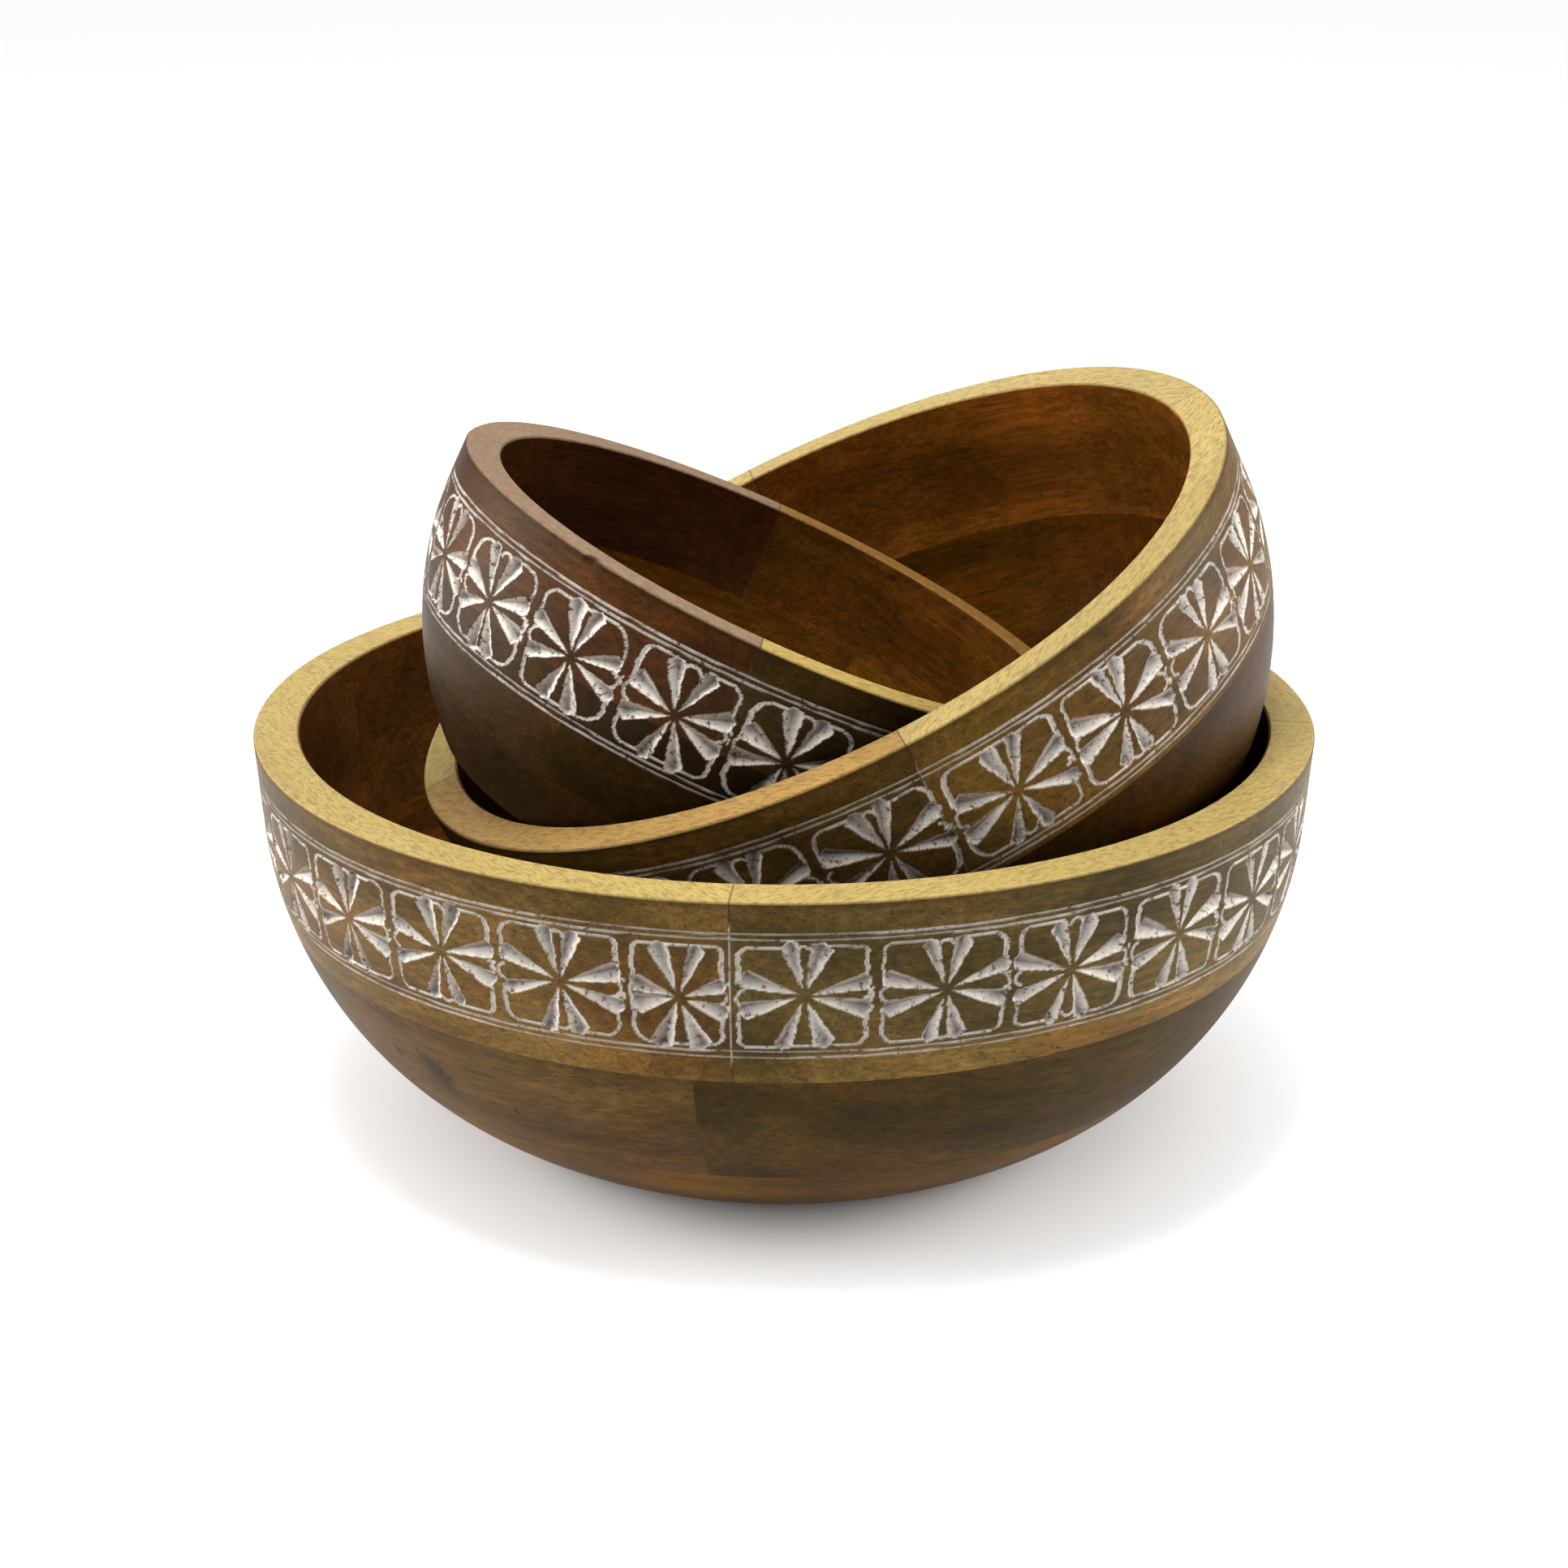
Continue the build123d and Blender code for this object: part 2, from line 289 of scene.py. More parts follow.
def gouge(x, y, half, theta, keys):
    """Depth of one tapered gouge, and painted light and shade on its two sides, lighter on the
    side that faces up and left.

    Its root is off centre.  theta turns from straight up towards the right.
    """
    sin, cos = np.sin(theta), np.cos(theta)
    to_side = half / np.maximum(np.abs(sin), LEAST_SLOPE)
    to_end = (CELL_HALF_HEIGHT - END_HALF) / np.maximum(np.abs(cos), LEAST_SLOPE)
    reach = np.minimum(to_side, to_end) * (GOUGE_REACH + draw("gouge_reach", *keys))
    start = GOUGE_START * (1 + draw("gouge_start", *keys))
    along = x * sin + y * cos
    aside = x * cos - y * sin
    grown = np.clip((along - start) / (reach - start), 0, 1)
    ended = np.clip((reach + GOUGE_TAIL - along) / GOUGE_TAIL, 0, 1)
    size = grown * ended
    full_width = GOUGE_HALF_WIDTH * (1 + draw("gouge_width", *keys))
    broad = full_width * size ** WIDTH_POWER + SLIVER
    skew = draw("gouge_skew", *keys) * broad
    side = np.where(aside > skew, broad - skew, broad + skew)
    flank = ramp(-ROOT_HALF, ROOT_HALF, aside - skew) * 2 - 1
    # painted light and shade of the two sides: above 0.5 on a side that faces up and left,
    # below 0.5 on one that faces down and right
    painted_flank_light = 0.5 + 0.5 * flank * (PAINTED_LIGHT_LEFT * cos + PAINTED_LIGHT_UP * sin)
    return GOUGE_DEPTH * size ** DEPTH_POWER * groove(aside - skew, side), painted_flank_light


def cell_outline(x, y, half, number, seed, rounding):
    """Cut around a cell: broad at the sides, thin above and below."""
    quadrant = 2 * (x > 0) + (y > 0)
    keys = (number, quadrant, seed)
    corner = rounding * (1 + draw("corner", *keys))
    out_x = np.abs(x) - half + corner
    out_y = np.abs(y) - (CELL_HALF_HEIGHT - END_HALF) + corner
    rounded = np.hypot(np.maximum(out_x, 0), np.maximum(out_y, 0))
    away = rounded + np.minimum(np.maximum(out_x, out_y), 0) - corner
    sideways = ramp(-CORNER_BLEND, CORNER_BLEND, (out_x - out_y) / corner)
    side_half = SIDE_HALF * (1 + draw("side_width", *keys))
    broad = END_HALF + (side_half - END_HALF) * sideways
    # The outline is left out between the two gouges of each axis.
    slope = math.tan(math.radians(GOUGE_SPREAD))
    beside = np.abs(y) > slope * half - SIDE_OVERLAP
    above = np.abs(x) > slope * CELL_HALF_HEIGHT - END_OVERLAP
    drawn = np.where(sideways > 0.5, beside, above)
    return OUTLINE_DEPTH * groove(away, broad) * drawn


def petal_cap(x, y, half, quarter, number, seed):
    """Arched or straight end of the narrow petal on one axis of a cell."""
    theta = math.radians(quarter * 90)
    along = x * math.sin(theta) + y * math.cos(theta)
    aside = x * math.cos(theta) - y * math.sin(theta)
    keys = (number, quarter, seed)
    bend = CAP_BEND + draw("cap_bend", *keys)
    if quarter % 2 == 0:
        top = CELL_HALF_HEIGHT - END_HALF
        arched = draw("cap_kept", *keys) > END_CAPS_KEPT
    else:
        top = half + CAP_OVERHANG + draw("cap_top", *keys)
        arched = draw("cap_kept", *keys) > SIDE_CAPS_KEPT
    arch = np.hypot(aside, along - (top - bend)) - bend
    away = np.where(arched, arch, along - top)
    inside = (along > top - bend) & (np.abs(aside) < bend + CAP_SIDE)
    return CAP_DEPTH * groove(away, CAP_HALF) * inside


def bar_chips(x, y, half, number, seed):
    """Small crossed nicks where cuts of two neighbouring cells run out."""
    cut = np.zeros_like(x)
    for place in range(NICKS):
        keys = (number, place, seed)
        from_x = x - (half + NICK_PLACE + draw("nick_x", *keys))
        from_y = y - draw("nick_y", *keys)
        tilt = draw("nick_tilt", *keys)
        along = from_x * np.cos(tilt) + from_y * np.sin(tilt)
        aside = from_y * np.cos(tilt) - from_x * np.sin(tilt)
        nick = groove(aside, NICK_HALF) * groove(along, NICK_REACH)
        cut = np.maximum(cut, NICK_DEPTH * nick)
    return cut


def rim_chip(bowl, angle, depth):
    """Splinter missing from the outer edge of the small bowl's rim."""
    if "chip" not in bowl:
        return np.zeros_like(angle)
    along = (angle - bowl["chip"] + 180.0) % 360.0 - 180.0
    along = along * math.radians(1) * bowl["radius"]
    ragged = 1 + CHIP_RAGGED * waver(angle * 23, 7)
    return CHIP_DEPTH * groove(along, CHIP_HALF * ragged) * ramp(*CHIP_FOOT, depth)


def carve(bowl, angle, depth):
    """Depth of cut, amount of wash and painted light and shade on the sides of the cuts at
    each point.
    """
    seed = bowl["seed"]
    number, turn, width = cell_of(bowl, angle)
    per_degree = math.radians(1) * (bowl["belly"] - BAND_INSET)
    half = (width * per_degree - BAR_WIDTH) / 2
    x = turn * per_degree + CELL_WANDER * waver(depth * 9 + number * 31, seed + 3)
    y = CELL_MIDDLE - depth + CELL_WANDER * waver(angle, seed + 5)
    lines = double_lines(bowl, angle, depth)
    cut = cell_outline(x, y, half, number, seed, bowl["rounding"])
    cut = np.maximum(cut, bar_chips(x, y, half, number, seed))
    centre_x = x - draw("centre_x", number, seed)
    centre_y = y - draw("centre_y", number, seed)
    painted_flank_light = np.full_like(cut, 0.5)
    for quarter in range(4):
        cut = np.maximum(cut, petal_cap(x, y, half, quarter, number, seed))
        for side in (-1, 1):
            keys = (number, 2 * quarter + (side + 1) / 2, seed)
            degrees = quarter * 90 + side * GOUGE_SPREAD + draw("gouge_turn", *keys)
            deeper, gouge_flank_light = gouge(centre_x, centre_y, half, np.radians(degrees), keys)
            # keeps the painted light and shade of the deepest cut at each point
            painted_flank_light = np.where(deeper > cut, gouge_flank_light, painted_flank_light)
            cut = np.maximum(cut, deeper)
    in_band = ramp(*FILM_TOP, depth) * ramp(*FILM_FOOT, depth)
    wash = np.maximum(ramp(*WASHED_CUT, cut), LINE_WASH * ramp(*WASHED_LINE, lines))
    wash = np.maximum(wash, BAND_FILM * in_band)
    return np.maximum(cut, lines), wash, painted_flank_light


# ---- ring meshes ------------------------------------------------------------------
def spread(start, end, spacing):
    """Evenly spaced values from start to end, no further apart than spacing."""
    count = max(2, int(math.ceil(abs(end - start) / spacing)) + 1)
    return np.linspace(start, end, count)


def outer_depths(top, bottom):
    """Depths of the mesh rows on the outside, fine over the carved band."""
    first, last = BAND_LINES[0] - BAND_MARGIN, BAND_LINES[-1] + BAND_MARGIN
    pieces = [spread(max(top, first), min(bottom, last), GRID)]
    if top < first:
        pieces += [spread(top, top + FINE_RIM, 2 * GRID), spread(top, first, COARSE)]
    if bottom > last:
        pieces.append(spread(last, bottom, COARSE))
    return np.unique(np.concatenate(pieces))


def ring_rows(bowl, top, bottom):
    """Depth, radius and part of each mesh row of a ring.

    Rows run up the outside (part 0), over the rim (1) and down the inside (2).
    """
    first = EDGE if top == 0 else top
    outside = outer_depths(first, bottom)[::-1]
    inside = spread(first, bottom, COARSE)
    lip_out = float(wall_radius(bowl, 0.0, 0.0)) - EDGE
    lip_in = float(wall_radius(bowl, 0.0, bowl["wall"])) + EDGE
    across = spread(lip_out, lip_in, COARSE) if top == 0 else np.empty(0)
    outer = wall_radius(bowl, outside, 0.0)
    inner = wall_radius(bowl, inside, bowl["wall"])
    depth = np.concatenate([outside, np.zeros(len(across)), inside])
    radius = np.concatenate([outer, across, inner])
    part = np.repeat([0, 1, 2], [len(outside), len(across), len(inside)])
    return depth, radius, part


def wrapped_grid(name, points):
    """Closed mesh of rows that wrap round, with a flat cap at each end."""
    rows, columns = points.shape[:2]
    index = np.arange(rows * columns).reshape(rows, columns)
    after = np.roll(index, -1, axis=0)
    corners = [index[:, :-1], index[:, 1:], after[:, 1:], after[:, :-1]]
    quads = np.stack(corners, -1).reshape(-1, 4)
    loops = np.concatenate([quads.ravel(), index[:, 0], index[::-1, -1]])
    starts = np.append(np.arange(len(quads) + 1) * 4, len(quads) * 4 + rows)
    mesh = bpy.data.meshes.new(name)
    mesh.vertices.add(rows * columns)
    mesh.vertices.foreach_set("co", points.ravel())
    mesh.loops.add(len(loops))
    mesh.loops.foreach_set("vertex_index", loops)
    mesh.polygons.add(len(starts))
    mesh.polygons.foreach_set("loop_start", starts)
    mesh.update(calc_edges=True)
    mesh.validate()
    mesh.polygons.foreach_set("use_smooth", np.ones(len(mesh.polygons), dtype=bool))
    return mesh


def sharpen(mesh, part, columns):
    """Marks the edges where the rows turn a corner, and the cut ends."""
    turns = np.flatnonzero(np.diff(part, prepend=part[0]) != 0).tolist()
    turns += [0, len(part) - 1]
    turns += [row - 1 for row in turns if row > 0]
    ends = np.empty(len(mesh.edges) * 2, dtype=np.int64)
    mesh.edges.foreach_get("vertices", ends)
    row, column = (value.reshape(-1, 2) for value in np.divmod(ends, columns))
    sharp = (row[:, 0] == row[:, 1]) & np.isin(row[:, 0], turns)
    sharp |= (column[:, 0] == column[:, 1]) & np.isin(column[:, 0], (0, columns - 1))
    mark = mesh.attributes.new("sharp_edge", "BOOLEAN", "EDGE")
    mark.data.foreach_set("value", sharp)


def ring_piece(name, bowl_name, top, bottom, start, end):
    """Closed mesh of one carved ring segment, with its layers for the material."""
    bowl = BOWLS[bowl_name]
    foot, right, front, axis = PLACES[bowl_name]
    depth, radius, part = ring_rows(bowl, top, bottom)
    columns = int(math.ceil(math.radians(end - start) * bowl["radius"] / GRID)) + 1
    angle = np.linspace(start, end, columns)
    shape = (len(depth), columns)

    outer = np.count_nonzero(part == 0)
    wide_angle, wide_depth = np.meshgrid(angle, depth[:outer])
    cut, wash, painted_flank_light = np.zeros(shape), np.zeros(shape), np.full(shape, 0.5)
    cut[:outer], wash[:outer], painted_flank_light[:outer] = carve(bowl, wide_angle, wide_depth)
    chip = np.zeros(shape)
    if top == 0:
        chip[:outer] = rim_chip(bowl, wide_angle, wide_depth)
        chip[outer] = rim_chip(bowl, angle, np.full(columns, EDGE))
    cut = cut + chip
    spin = np.radians(angle)
    out = np.sin(spin)[:, None] * right + np.cos(spin)[:, None] * front
    reach = (radius[:, None] - cut) * MM
    height = (bowl["height"] - depth) * MM
    points = foot + out[None] * reach[..., None] + axis * height[:, None, None]
    mesh = wrapped_grid(name, points)
    sharpen(mesh, part, columns)

    ends = (0, -1)
    glue = CHIP_DARK * np.clip(chip / CHIP_DEPTH * 2, 0, 1)
    glue[:, ends] = 1.0
    crack = (part == 0) * ramp(*CRACK_TOP, depth) * ramp(*CRACK_FOOT, depth)
    wash[:, ends] = np.maximum(wash[:, ends], CRACK_WASH[bowl_name] * crack[:, None])
    layers = dict(
        wash=wash,
        # painted shade: the wash is darkened towards the root of each cut
        painted_root_shade=cut / GOUGE_DEPTH,
        # painted light and shade on the sides of the gouges
        painted_flank_light=painted_flank_light,
        bare=np.repeat(part == 1, columns),
        hollow=np.repeat(part == 2, columns),
        glue=glue,
        below=np.repeat((part == 0) * ramp(*GOLDEN_TOP, depth), columns),
        lip=np.repeat((part == 0) * ramp(*LIP_FOOT, depth), columns),
    )
    for label, values in layers.items():
        layer = mesh.attributes.new(label, "FLOAT", "POINT")
        layer.data.foreach_set("value", values.ravel().astype(np.float32))
    piece = bpy.data.objects.new(name, mesh)
    bpy.context.scene.collection.objects.link(piece)
    return piece


# ---- node trees -------------------------------------------------------------------
class Nodes:
    """Short calls for building a node tree."""

    def __init__(self, material):
        material.use_nodes = True
        self.tree = material.node_tree
        self.tree.nodes.clear()

    def new(self, kind, **values):
        node = self.tree.nodes.new(kind)
        for key, value in values.items():
            setattr(node, key, value)
        return node

    def link(self, source, target):
        self.tree.links.new(source, target)

    def put(self, socket, value):
        if value is None:
            return
        if isinstance(value, bpy.types.NodeSocket):
            self.link(value, socket)
        else:
            socket.default_value = value

    def attribute(self, label):
        return self.new("ShaderNodeAttribute", attribute_name=label).outputs["Fac"]

    def math(self, operation, a, b=None, clamp=False):
        node = self.new("ShaderNodeMath", operation=operation, use_clamp=clamp)
        for socket, value in zip(node.inputs, (a, b)):
            self.put(socket, value)
        return node.outputs[0]

    def mix(self, factor, a, b, blend="MIX"):
        node = self.new("ShaderNodeMix", data_type="RGBA", blend_type=blend)
        factor_socket, a_socket, b_socket = 0, 6, 7
        self.put(node.inputs[factor_socket], factor)
        self.put(node.inputs[a_socket], a)
        self.put(node.inputs[b_socket], b)
        return node.outputs[2]

    def ramp(self, factor, *stops):
        node = self.new("ShaderNodeValToRGB")
        elements = node.color_ramp.elements
        elements[0].position, elements[0].color = stops[0]
        elements[1].position, elements[1].color = stops[-1]
        for position, colour in stops[1:-1]:
            elements.new(position).color = colour
        self.link(factor, node.inputs[0])
        return node.outputs[0]

    def noise(self, vector, scale, detail=3.0, rough=0.5, distortion=0.0):
        node = self.new("ShaderNodeTexNoise")
        node.inputs["Scale"].default_value = scale
        node.inputs["Detail"].default_value = detail
        node.inputs["Roughness"].default_value = rough
        node.inputs["Distortion"].default_value = distortion
        self.link(vector, node.inputs["Vector"])
        return node.outputs["Fac"]

    def stretch(self, vector, scale):
        node = self.new("ShaderNodeMapping")
        node.inputs["Scale"].default_value = scale
        self.link(vector, node.inputs["Vector"])
        return node.outputs[0]


# ---- colours ------------------------------------------------------------------------
def srgb(red, green, blue):
    """Linear colour from the usual 0 to 255 values."""
    def one(value):
        value /= 255
        return value / 12.92 if value <= 0.04045 else ((value + 0.055) / 1.055) ** 2.4
    return (one(red), one(green), one(blue), 1.0)


def scaled(colour, factor):
    """Colour made darker or lighter, with its alpha left at 1."""
    return tuple(channel * factor for channel in colour[:3]) + (1.0,)


def tinted(colour, tint):
    """Colour times another, channel by channel."""
    return tuple(a * b for a, b in zip(colour, tint)) + (1.0,)


def grey(level):
    """Linear grey, which may be above 1 where it multiplies a colour."""
    return (level, level, level, 1)


BARE = srgb(159, 138, 83)
WASH = srgb(198, 190, 180)
# painted shade in the roots of the cuts
PAINTED_SHADE_WASH = srgb(128, 123, 124)
FLECK = srgb(70, 58, 44)
GOLDEN = srgb(95, 74, 38)
MARK = srgb(34, 22, 14)
JOINT = srgb(34, 24, 14)
VARNISH = (1.0, 0.74, 0.36, 1.0)
# painted shade on the sides of the cuts that face down and right
PAINTED_SHADE_FLANK = (0.48, 0.45, 0.43, 1.0)
WARM_TINT = (1.12, 0.95, 0.8)
OLIVE_TINT = (0.94, 0.97, 0.88)
BLACK = (0, 0, 0, 1)
WHITE = (1, 1, 1, 1)
WASH_SHARE = {"large": 0.84, "medium": 0.92, "small": 1.0}
GOLDEN_SHARE = {"large": 0.7, "medium": 0.15, "small": 0.05}

# Stain outside and inside each segment, in the order of its joints. The small bowl's lower
# ring is darker outside, partly as painted shade from the medium bowl around it.
STAIN_AND_SHADE_TONES = {
    "large": dict(
        rim=[((72, 58, 32), (94, 58, 24)), ((76, 60, 33), (92, 57, 23)),
             ((72, 57, 31), (90, 55, 23)), ((79, 60, 32), (98, 62, 29))],
        wall=[((52, 38, 13), (90, 55, 19)), ((56, 41, 17), (86, 51, 17)),
              ((58, 43, 21), (84, 49, 17)), ((65, 48, 24), (88, 53, 19))],
        base=((84, 55, 10), (92, 55, 15)),
    ),
    "medium": dict(
        rim=[((76, 55, 23), (97, 55, 16)), ((73, 53, 22), (95, 54, 14)),
             ((70, 51, 21), (93, 51, 13)), ((71, 52, 22), (96, 53, 15))],
        wall=[((47, 28, 5), (68, 38, 2)), ((45, 27, 5), (66, 37, 2)),
              ((44, 26, 4), (65, 36, 2)), ((47, 29, 6), (66, 37, 2))],
        base=((45, 28, 6), (64, 36, 2)),
    ),
    "small": dict(
        rim=[((48, 33, 11), (76, 45, 10)), ((56, 37, 15), (74, 43, 10)),
             ((58, 32, 14), (46, 24, 8)), ((56, 31, 12), (55, 29, 9))],
        # painted shade: these outside tones are darker than the stain, for the shade inside
        # the medium bowl
        wall=[((32, 18, 4), (74, 43, 4)), ((32, 18, 5), (74, 43, 4)),
              ((33, 19, 5), (72, 41, 4)), ((43, 26, 7), (72, 41, 4))],
        base=((36, 23, 9), (70, 40, 4)),
    ),
}
PALE_RIMS = {
    "large": [BARE, BARE, BARE, BARE],
    "medium": [srgb(152, 132, 80), srgb(150, 131, 82), srgb(150, 130, 78), srgb(143, 113, 65)],
    "small": [srgb(160, 135, 73), srgb(136, 98, 50), srgb(121, 98, 76), srgb(123, 100, 78)],
}
# Knots, streaks and cracks: angle, depth, inset from the outside, size, strength.
MARKS = {
    "small_rim_segment_2": [(152.0, 3.2, 10.4, (3.2, 3.2, 2.0), 0.9)],
    "large_wall_segment_4": [
        (318.5, 67.0, 0.0, (15.0, 11.0, 17.0), 0.8),
        (312.5, 65.0, 0.0, (3.0, 3.0, 11.0), 1.0),
        (329.0, 72.5, 0.0, (1.8, 1.8, 8.0), 1.0),
    ],
}

# Noise of the grain: scale along, across and up it, detail, roughness, distortion.
GRAIN = {
    "figure": ((3.5, 34, 60), 3.0, 0.5, 0.25),
    "streak": ((16, 500, 650), 3.0, 0.6, 0.0),
    "fibre": ((60, 1500, 1900), 2.0, 0.6, 0.0),
    "pore": ((210, 1500, 1500), 1.0, 0.5, 0.0),
    "hue": ((18, 34, 34), 3.0, 0.6, 0.0),
    "mottle": ((260, 520, 520), 2.0, 0.6, 0.0),
}
SPECK_SCALE = (380, 1100, 1100)
# Other noise: scale, detail, roughness.
NOISES = {
    "blotch": (26.0, 4.0, 0.65),
    "cloud": (190.0, 3.0, 0.65),
    "ragged": (260.0, 3.0, 0.6),
    "worn": (520.0, 4.0, 0.7),
    "grit": (950.0, 2.0, 0.6),
    "speck": (1.0, 3.0, 0.65),
}
# What multiplies the stain where each noise is low and where it is high.
STAIN_LAYERS = {
    "figure": ((0.36, grey(0.68)), (0.5, grey(1.0)), (0.64, grey(1.3))),
    "streak": ((0.36, grey(1.14)), (0.64, grey(0.76))),
    "blotch": ((0.34, grey(0.72)), (0.66, grey(1.26))),
    "fibre": ((0.36, grey(0.84)), (0.64, grey(1.16))),
    "mottle": ((0.38, (0.86, 0.9, 0.8, 1.0)), (0.62, (1.16, 1.08, 1.0, 1.0))),
}


# ---- wood materials -------------------------------------------------------------------
INSIDE_SLACK = 2.0 * MM   # past the inner wall, and still counted as inside
FOOT_SKIN = 4.0 * MM      # height under which a base board is all outside
BASE_CHORD = 8.0          # degrees, of the grain of the base boards
SEED_STEP = 20            # between the seeds of two bowls
ROUGHNESS, BLOTCH_ROUGH = 0.4, 0.14    # of the stain, and what blotches add
HOLLOW_GLOSS = 0.1        # how much less rough the inside is
WASH_ROUGH = 0.3          # how much rougher the wash is
PORE_DARK, BARE_PORE_DARK = 0.5, 0.55
LIP_DARK = 0.55           # dark line of stain under the bare rim
STREAK_RELIEF, PORE_RELIEF, GRIT_RELIEF = 0.25, -0.5, 0.8
WASHED_JOINT = 0.75       # wash over which a joint no longer shows dark
SPECULAR = 0.06
BUMP, BUMP_DEPTH = 0.45, 0.0003


def bowl_space(n, bowl_name, coordinates):
    """Coordinates turned into the bowl's own frame, with z up its axis."""
    foot, right, front, axis = PLACES[bowl_name]
    local = n.new("ShaderNodeMapping", vector_type="TEXTURE")
    turn = Matrix((Vector(right), Vector(-front), Vector(axis))).transposed()
    local.inputs["Location"].default_value = Vector(foot)
    local.inputs["Rotation"].default_value = turn.to_euler("XYZ")
    n.link(coordinates, local.inputs["Vector"])
    return local.outputs[0]


def grain_space(n, local, chord, seed):
    """Bowl coordinates turned along a segment's chord, and shifted by its seed."""
    grain = n.new("ShaderNodeMapping", vector_type="POINT")
    tilt_x, tilt_y = 0.04 * math.sin(seed), 0.03 * math.sin(2 * seed)
    grain.inputs["Rotation"].default_value = (tilt_x, tilt_y, math.radians(-chord))
    grain.inputs["Location"].default_value = (0.37 * seed, 0.21 * seed, 0.11 * seed)
    n.link(local, grain.inputs["Vector"])
    return grain.outputs[0]


def hollow_mask(n, bowl, local):
    """1 on the inside of a plain ring or base board, 0 on its outside."""
    split = n.new("ShaderNodeSeparateXYZ")
    n.link(local, split.inputs[0])
    x, y, z = split.outputs
    across = n.math("ADD", n.math("POWER", x, 2.0), n.math("POWER", y, 2.0))
    arc_middle = (bowl["belly"] - bowl["turn"]) * MM
    from_middle = n.math("SUBTRACT", n.math("SQRT", across), arc_middle)
    low = n.math("SUBTRACT", (bowl["height"] - bowl["belly_depth"]) * MM, z)
    squares = n.math("ADD", n.math("POWER", from_middle, 2.0), n.math("POWER", low, 2.0))
    inner_turn = (bowl["turn"] - bowl["wall"]) * MM + INSIDE_SLACK
    near = n.math("LESS_THAN", n.math("SQRT", squares), inner_turn)
    return n.math("MULTIPLY", near, n.math("GREATER_THAN", z, FOOT_SKIN))


def mark_mask(n, bowl, local, angle, depth, inset, size, strength):
    """Soft-edged knot, dark streak or crack at an angle and depth on a wall."""
    turn = math.radians(angle)
    out = float(wall_radius(bowl, depth, inset))
    height = bowl["height"] - depth
    offset = n.new("ShaderNodeVectorMath", operation="SUBTRACT")
    n.link(local, offset.inputs[0])
    place = Vector((math.sin(turn) * out, -math.cos(turn) * out, height)) * MM
    offset.inputs[1].default_value = place
    shrunk = n.new("ShaderNodeVectorMath", operation="DIVIDE")
    n.link(offset.outputs[0], shrunk.inputs[0])
    shrunk.inputs[1].default_value = Vector(size) * MM
    length = n.new("ShaderNodeVectorMath", operation="LENGTH")
    n.link(shrunk.outputs[0], length.inputs[0])
    ragged = n.math("MULTIPLY", n.noise(local, *NOISES["ragged"]), 0.9)
    away = n.math("ADD", length.outputs["Value"], ragged)
    full, soft = grey(strength), grey(strength * 0.6)
    return n.ramp(away, (0.6, full), (0.85, soft), (1.35, BLACK))


def stained(n, fields, colour):
    """Stain of one colour, varied by the noise of the wood."""
    warm, olive = tinted(colour, WARM_TINT), tinted(colour, OLIVE_TINT)
    total = n.ramp(fields["hue"], (0.36, olive), (0.5, colour), (0.64, warm))
    for label, stops in STAIN_LAYERS.items():
        total = n.mix(1.0, total, n.ramp(fields[label], *stops), "MULTIPLY")
    return total


def bare_wood(n, fields, grain, pores, bare):
    """Unstained wood of the rim, with its pores and darker specks."""
    colour = n.ramp(fields["figure"], (0.3, scaled(bare, 0.9)), (0.7, scaled(bare, 1.15)))
    colour = n.mix(n.math("MULTIPLY", pores, BARE_PORE_DARK), colour, scaled(bare, 0.4))
    speck = n.noise(n.stretch(grain, SPECK_SCALE), *NOISES["speck"])
    return n.mix(n.ramp(speck, (0.45, BLACK), (0.66, WHITE)), colour, scaled(bare, 0.62))


def limed(n, bowl_name, coordinates, grit):
    """Whitish wash in the cuts, with painted shade at their roots and on sides that face down
    and right, and a painted highlight on sides that face up and left.
    """
    lime = scaled(WASH, WASH_SHARE[bowl_name])
    painted_root_shade, painted_flank_light = n.attribute("painted_root_shade"), n.attribute("painted_flank_light")
    # painted shade: the wash darkens towards the roots of the cuts
    pale = n.ramp(painted_root_shade, (0.15, lime), (0.5, scaled(lime, 0.72)), (0.85, PAINTED_SHADE_WASH))
    cloud = n.noise(coordinates, *NOISES["cloud"])
    clouded = n.ramp(cloud, (0.36, grey(0.84)), (0.62, grey(1.05)))
    # painted shade on sides that face down and right, painted highlight on sides that face up
    # and left
    turned = n.ramp(painted_flank_light, (0.1, PAINTED_SHADE_FLANK), (0.5, grey(0.9)), (0.9, grey(1.2)))
    for layer in (clouded, turned):
        pale = n.mix(1.0, pale, layer, "MULTIPLY")
    return n.mix(n.ramp(grit, (0.62, BLACK), (0.7, grey(0.8))), pale, FLECK)


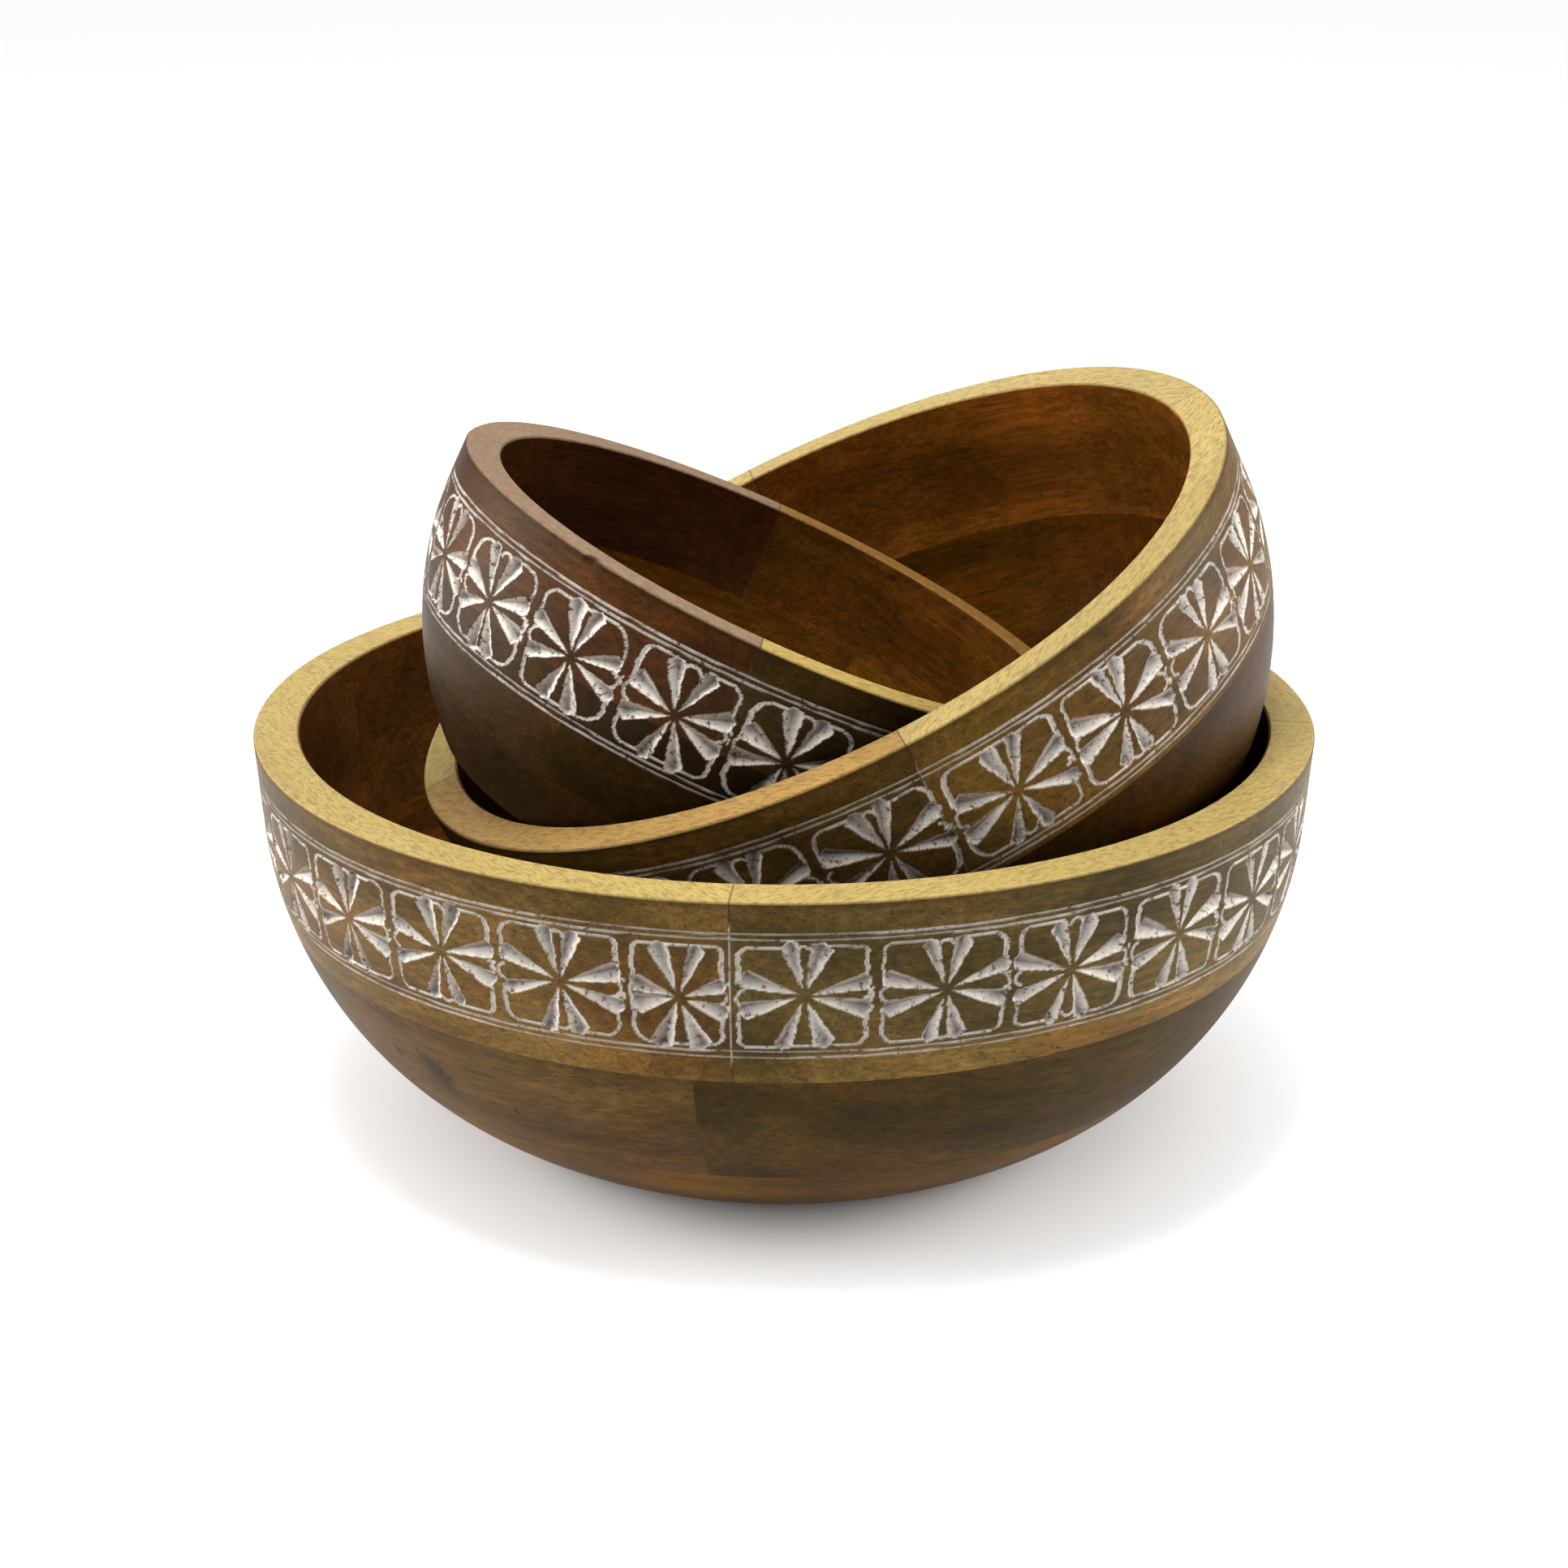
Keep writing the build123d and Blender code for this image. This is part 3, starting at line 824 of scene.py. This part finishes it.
def wood(name, bowl_name, chord, stain, inside, seed, carved=False, bare=BARE, marks=()):
    """Stained segment wood with grain along its chord, pores and wear."""
    bowl = BOWLS[bowl_name]
    material = bpy.data.materials.new(name)
    n = Nodes(material)
    coordinates = n.new("ShaderNodeTexCoord").outputs["Object"]
    local = bowl_space(n, bowl_name, coordinates)
    grain = grain_space(n, local, chord, seed)
    fields = {
        label: n.noise(n.stretch(grain, scale), 1.0, *rest)
        for label, (scale, *rest) in GRAIN.items()
    }
    fields["blotch"] = n.noise(grain, *NOISES["blotch"])
    pores = n.ramp(fields["pore"], (0.62, BLACK), (0.69, WHITE))

    outside = stained(n, fields, stain)
    if carved:
        golden = n.math("MULTIPLY", n.attribute("below"), GOLDEN_SHARE[bowl_name])
        outside = n.mix(golden, outside, stained(n, fields, GOLDEN))
        hollow = n.attribute("hollow")
    else:
        hollow = hollow_mask(n, bowl, local)
    colour = n.mix(hollow, outside, stained(n, fields, inside))
    colour = n.mix(n.math("MULTIPLY", pores, PORE_DARK), colour, scaled(stain, 0.2))
    for mark in marks:
        colour = n.mix(mark_mask(n, bowl, local, *mark), colour, MARK)
    blotches = n.math("MULTIPLY", fields["blotch"], BLOTCH_ROUGH)
    rough = n.math("ADD", ROUGHNESS, blotches)
    rough = n.math("SUBTRACT", rough, n.math("MULTIPLY", hollow, HOLLOW_GLOSS))
    streaks = n.math("MULTIPLY", fields["streak"], STREAK_RELIEF)
    relief = n.math("ADD", streaks, n.math("MULTIPLY", pores, PORE_RELIEF))

    if carved:
        lip = n.math("MULTIPLY", n.attribute("lip"), LIP_DARK)
        colour = n.mix(lip, colour, scaled(stain, 0.35))
        colour = n.mix(n.attribute("bare"), colour, bare_wood(n, fields, grain, pores, bare))
        wash = n.attribute("wash")
        worn = n.noise(coordinates, *NOISES["worn"])
        keep = n.ramp(worn, (0.35, grey(0.1)), (0.44, WHITE))
        washed = n.math("MULTIPLY", wash, keep, clamp=True)
        grit = n.noise(coordinates, *NOISES["grit"])
        colour = n.mix(washed, colour, limed(n, bowl_name, coordinates, grit))
        dry = n.math("SUBTRACT", WASHED_JOINT, wash, clamp=True)
        unwashed = n.math("MULTIPLY", n.attribute("glue"), dry)
        colour = n.mix(unwashed, colour, JOINT)
        rough = n.math("ADD", rough, n.math("MULTIPLY", washed, WASH_ROUGH))
        gritty = n.math("MULTIPLY", n.math("MULTIPLY", washed, grit), GRIT_RELIEF)
        relief = n.math("ADD", relief, gritty)

    shader = n.new("ShaderNodeBsdfPrincipled")
    n.link(colour, shader.inputs["Base Color"])
    n.link(rough, shader.inputs["Roughness"])
    shader.inputs["Specular IOR Level"].default_value = SPECULAR
    shader.inputs["Specular Tint"].default_value = VARNISH
    bump = n.new("ShaderNodeBump")
    bump.inputs["Strength"].default_value = BUMP
    bump.inputs["Distance"].default_value = BUMP_DEPTH
    n.link(relief, bump.inputs["Height"])
    n.link(bump.outputs[0], shader.inputs["Normal"])
    n.link(shader.outputs[0], n.new("ShaderNodeOutputMaterial").inputs[0])
    return material


# ---- the pieces ---------------------------------------------------------------------
def paint(piece, material):
    """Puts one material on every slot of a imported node."""
    if not piece.material_slots:
        piece.data.materials.append(material)
    for place in piece.material_slots:
        place.material = material


def dress(bowl_name):
    """Carved ring pieces and materials of one bowl."""
    bowl = BOWLS[bowl_name]
    body = bowl_name + "_bowl"
    seed = bowl["seed"] * SEED_STEP
    rings = (
        ("rim", 0.0, bowl["upper"], bowl["upper_joints"]),
        ("wall", bowl["upper"], bowl["upper"] + bowl["lower"], bowl["lower_joints"]),
    )
    for ring, top, bottom, joints in rings:
        carved = top < CELL_MIDDLE + CELL_HALF_HEIGHT
        for place, (start, end) in enumerate(zip(joints, joints[1:] + (joints[0] + 360.0,))):
            node = f"{bowl_name}_{ring}_segment_{place + 1}"
            stain, inside = (srgb(*tone) for tone in STAIN_AND_SHADE_TONES[bowl_name][ring][place])
            seed += 1
            material = wood(
                node + "_wood", bowl_name, (start + end) / 2, stain, inside, seed,
                carved, PALE_RIMS[bowl_name][place], MARKS.get(node, ()),
            )
            if carved:
                piece = ring_piece(node + "_carved", bowl_name, top, bottom, start, end)
                piece.data.materials.append(material)
                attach(piece, body)
                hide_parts(node)
            else:
                paint(NODES[node], material)
    stain, inside = (srgb(*tone) for tone in STAIN_AND_SHADE_TONES[bowl_name]["base"])
    base = wood(bowl_name + "_base_wood_grain", bowl_name, BASE_CHORD, stain, inside, seed + 1)
    paint(NODES[bowl_name + "_base_board"], base)


for bowl_name in BOWLS:
    dress(bowl_name)


# ---- floor, light and camera ----------------------------------------------------------
MIDDLE = Vector((0, 0, CAD_BOX[1][2] / 2))
FLOOR_SIZE = 16.0
# Soft boxes: place, what they face, size and power.
LIGHTS = {
    "sky_box": ((0.0, 0.0, 3.2), (0.0, 0.0, 0.0), (28.0, 28.0), 2280),
    "left_box": ((-1.5, 0.15, 0.45), MIDDLE, (1.0, 0.9), 34),
    "right_box": ((1.5, 0.15, 0.45), MIDDLE, (1.0, 0.9), 28),
    "key_box": ((-0.12, -0.2, 1.3), MIDDLE, (0.4, 0.4), 12),
}
WORLD_SEEN, WORLD_LIGHT = 1.0, 0.2
LENS, SENSOR = 62.5, 36.0
CAMERA_PLACE = (0.0, -0.743, 0.359)
CAMERA_AIM = (0, 0, 0.0908)


def aimed(place, aim):
    """Rotation of a light or camera at a place that looks at its aim."""
    return (Vector(aim) - Vector(place)).to_track_quat("-Z", "Y").to_euler()


def make_floor():
    """Plain pale floor under the large bowl's foot."""
    bpy.ops.mesh.primitive_plane_add(size=FLOOR_SIZE, location=(0, 0, CAD_BOX[0][2]))
    floor = bpy.context.object
    floor.name = "floor"
    material = bpy.data.materials.new("floor_paper")
    n = Nodes(material)
    shader = n.new("ShaderNodeBsdfPrincipled")
    shader.inputs["Base Color"].default_value = (0.9, 0.9, 0.9, 1)
    shader.inputs["Roughness"].default_value = 0.9
    shader.inputs["Specular IOR Level"].default_value = 0.2
    n.link(shader.outputs[0], n.new("ShaderNodeOutputMaterial").inputs[0])
    floor.data.materials.append(material)


def soft_box(name, place, aim, size, power):
    """Large soft light, with its sizes in metres and its power in watts."""
    light = bpy.data.lights.new(name, "AREA")
    light.shape = "RECTANGLE"
    light.size, light.size_y = size
    light.energy = power
    lamp = bpy.data.objects.new(name, light)
    lamp.location = place
    lamp.rotation_euler = aimed(place, aim)
    bpy.context.scene.collection.objects.link(lamp)


def make_world():
    """White backdrop beyond the floor, which adds only a little light."""
    world = bpy.data.worlds.new("studio")
    world.use_nodes = True
    nodes, links = world.node_tree.nodes, world.node_tree.links
    backdrop = nodes["Background"]
    backdrop.inputs[0].default_value = WHITE
    sight = nodes.new("ShaderNodeLightPath")
    level = nodes.new("ShaderNodeMapRange")
    level.inputs["To Min"].default_value = WORLD_LIGHT
    level.inputs["To Max"].default_value = WORLD_SEEN
    links.new(sight.outputs["Is Camera Ray"], level.inputs["Value"])
    links.new(level.outputs[0], backdrop.inputs[1])
    bpy.context.scene.world = world


def make_camera():
    """Camera at the photograph's viewing angle."""
    data = bpy.data.cameras.new("camera")
    data.lens = LENS
    data.sensor_width = SENSOR
    camera = bpy.data.objects.new("camera", data)
    camera.location = CAMERA_PLACE
    camera.rotation_euler = aimed(CAMERA_PLACE, CAMERA_AIM)
    bpy.context.scene.collection.objects.link(camera)
    bpy.context.scene.camera = camera


make_floor()
for name, settings in LIGHTS.items():
    soft_box(name, *settings)
make_world()
bpy.context.scene.view_settings.view_transform = "Standard"
make_camera()

bpy.context.view_layer.update()
